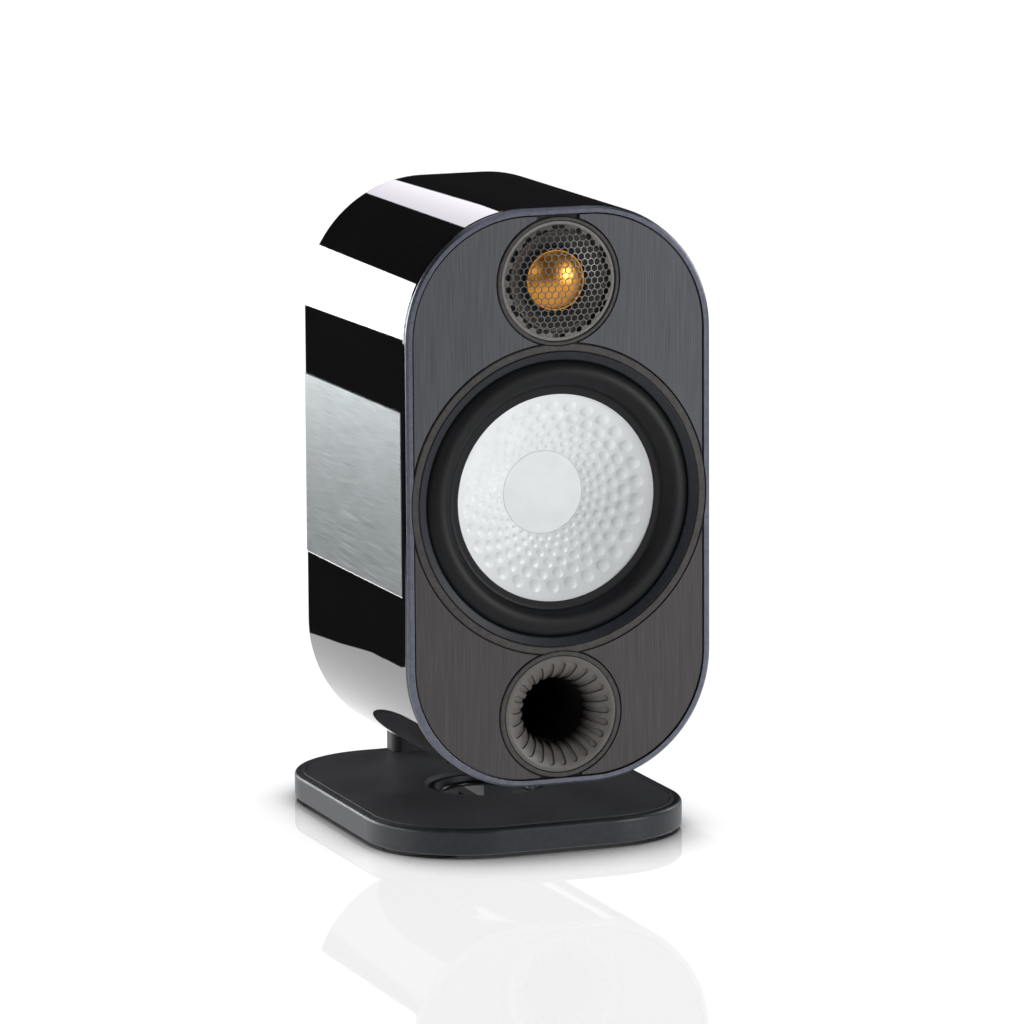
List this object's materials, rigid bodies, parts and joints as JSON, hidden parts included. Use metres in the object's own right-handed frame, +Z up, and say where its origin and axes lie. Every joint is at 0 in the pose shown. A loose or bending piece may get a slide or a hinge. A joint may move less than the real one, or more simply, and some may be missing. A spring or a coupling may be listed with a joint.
{
  "type": "bookshelf speaker",
  "caption": "Compact two-way bookshelf loudspeaker with rounded gloss cabinet, dimpled cone, dome tweeter, front bass port and a low desktop stand.",
  "frame": {"origin": "on the floor, at the centre of the part's footprint box", "axes": "+Z up, the drivers face -Y, +X to the right when seen from the front"},
  "size_m": [0.145, 0.187, 0.2824],
  "materials": {
    "gloss_shell": "high gloss",
    "satin_black_panel": "fine texture",
    "brushed_panel": "brushed along the depth",
    "baffle_board": "satin",
    "foam_rubber": "matt",
    "bezel_paint": "satin",
    "trim_metal": "brushed up and down",
    "ring_metal": "satin",
    "clamp_plastic": "satin",
    "grille_metal": "satin",
    "faceplate_plastic": "satin",
    "gold_dome": "anodised, polished",
    "surround_rubber": "satin",
    "coil_wire": "enamelled wire",
    "plated_steel": "zinc plated",
    "magnet_ferrite": "matt",
    "black_screw": "black oxide",
    "white_cone": "white coated, satin",
    "spider_cloth": "woven",
    "basket_metal": "matt",
    "port_plastic": "satin",
    "tube_plastic": "matt",
    "circuit_board": "laminate",
    "capacitor_film": "smooth",
    "resistor_ceramic": "matt",
    "foam_lining": "open foam",
    "gold_brass": "polished",
    "cap_black": "satin",
    "cap_red": "clear red",
    "stand_metal": "fine textured",
    "base_paint": "fine sparkle texture",
    "mat_rubber": "matt",
    "bright_ring": "polished",
    "foot_rubber": "matt"
  },
  "bodies": {
    "cabinet_and_stand": {"cabinet_shell": "gloss_shell", "rear_panel": "satin_black_panel", "side_panel_left": "brushed_panel", "side_panel_right": "brushed_panel", "front_baffle": "baffle_board", "baffle_gasket": "foam_rubber", "baffle_bezel": "bezel_paint", "trim_plate_upper_left": "trim_metal", "trim_plate_upper_right": "trim_metal", "trim_plate_lower_left": "trim_metal", "trim_plate_lower_right": "trim_metal", "tweeter_trim_ring": "ring_metal", "woofer_trim_ring": "ring_metal", "port_trim_ring": "ring_metal", "woofer_clamp_ring": "clamp_plastic", "tweeter_grille": "grille_metal", "tweeter_faceplate": "faceplate_plastic", "tweeter_top_plate": "plated_steel", "tweeter_magnet": "magnet_ferrite", "tweeter_yoke": "plated_steel", "tweeter_screws": "black_screw", "woofer_basket": "basket_metal", "woofer_top_plate": "plated_steel", "woofer_magnet": "magnet_ferrite", "woofer_yoke": "plated_steel", "woofer_screws": "black_screw", "port_flare": "port_plastic", "port_tube": "tube_plastic", "crossover_board": "circuit_board", "crossover_standoffs": "satin_black_panel", "crossover_inductors": "coil_wire", "crossover_capacitors": "capacitor_film", "crossover_resistors": "resistor_ceramic", "damping_foam": "foam_lining", "terminal_cup": "satin_black_panel", "panel_screws": "black_screw", "terminal_studs": "gold_brass", "terminal_nuts": "gold_brass", "mount_backing_plate": "plated_steel", "neck_bracket": "stand_metal", "neck_bolts": "black_screw", "stand_arm": "stand_metal", "arm_bolts": "black_screw", "base_plate": "base_paint", "base_mat": "mat_rubber", "cable_port_ring": "bright_ring", "foot_pads": "foot_rubber", "arm_foot_bolts": "black_screw"},
    "woofer_diaphragm": {"woofer_cone": "white_cone", "woofer_centre_cap": "white_cone", "woofer_voice_coil": "coil_wire", "woofer_surround": "surround_rubber", "woofer_spider": "spider_cloth"},
    "tweeter_diaphragm": {"tweeter_dome": "gold_dome", "tweeter_voice_coil": "coil_wire", "tweeter_surround": "surround_rubber"},
    "black_washer": {"terminal_washer_black": "gold_brass"},
    "black_cap": {"terminal_cap_black": "cap_black"},
    "red_washer": {"terminal_washer_red": "gold_brass"},
    "red_cap": {"terminal_cap_red": "cap_red"}
  },
  "joints": [
    {"name": "woofer_travel", "type": "slide", "parent": "cabinet_and_stand", "child": "woofer_diaphragm", "axis": [0, -1, 0], "range_m": [-0.0045, 0.0045], "stiffness_N_per_m": 1400, "deforming": ["woofer_surround", "woofer_spider"]},
    {"name": "tweeter_travel", "type": "slide", "parent": "cabinet_and_stand", "child": "tweeter_diaphragm", "axis": [0, -1, 0], "range_m": [-0.0004, 0.0004], "stiffness_N_per_m": 600, "deforming": ["tweeter_surround"]},
    {"name": "black_washer_travel", "type": "slide", "parent": "cabinet_and_stand", "child": "black_washer", "axis": [0, 1, 0], "range_m": [0, 0.0024]},
    {"name": "black_cap_turn", "type": "hinge", "parent": "black_washer", "child": "black_cap", "pos_m": [-0.0095, 0.04069, 0.1844], "axis": [0, 1, 0], "range_deg": [0, 1080]},
    {"name": "red_washer_travel", "type": "slide", "parent": "cabinet_and_stand", "child": "red_washer", "axis": [0, 1, 0], "range_m": [0, 0.0024]},
    {"name": "red_cap_turn", "type": "hinge", "parent": "red_washer", "child": "red_cap", "pos_m": [0.0095, 0.04069, 0.1844], "axis": [0, 1, 0], "range_deg": [0, 1080]}
  ],
  "couplings": [
    {"joint": "black_cap_turn", "follows": "black_washer_travel", "rad_per_m": 7854},
    {"joint": "red_cap_turn", "follows": "red_washer_travel", "rad_per_m": 7854}
  ]
}
